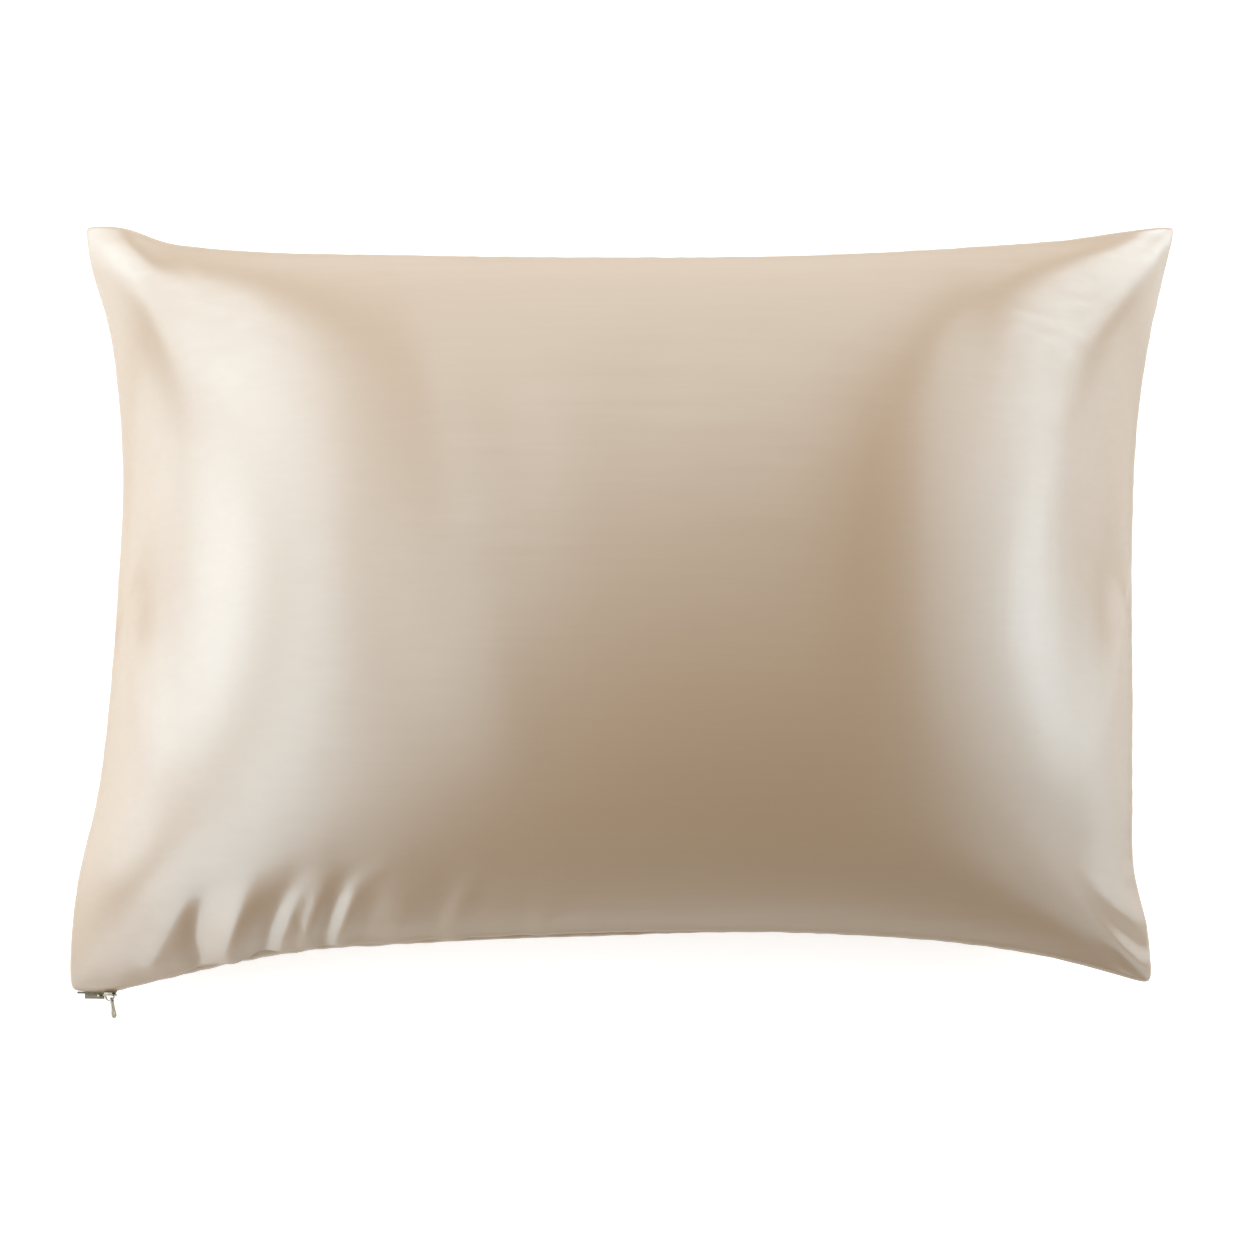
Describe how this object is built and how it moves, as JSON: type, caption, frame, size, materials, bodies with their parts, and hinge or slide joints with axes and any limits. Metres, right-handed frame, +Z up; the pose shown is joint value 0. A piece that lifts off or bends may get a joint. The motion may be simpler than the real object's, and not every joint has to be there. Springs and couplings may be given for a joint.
{
  "type": "pillowcase",
  "caption": "Satin pillowcase filled by its pillow, with a crowned middle, drawn-in sides, gathers by one corner and a closed zip along a long edge.",
  "frame": {"origin": "middle of the flat face that the case lies on", "axes": "+X along the long side away from the zip slider's corner, +Y across towards the edge with no zip, +Z up out of the front panel"},
  "size_m": [0.7104, 0.5131, 0.1675],
  "materials": {
    "satin": "champagne silk satin with a soft broad sheen",
    "zip_tape": "matt woven tape and moulded coil, grey beige",
    "zip_metal": "small bright die-cast parts, warm grey"
  },
  "bodies": {
    "root": {"pillowcase": "satin", "zip_coil": "zip_tape", "zip_tape": "zip_tape", "zip_stop": "zip_metal", "zip_slider": "zip_metal", "zip_pull": "zip_metal"}
  },
  "joints": []
}
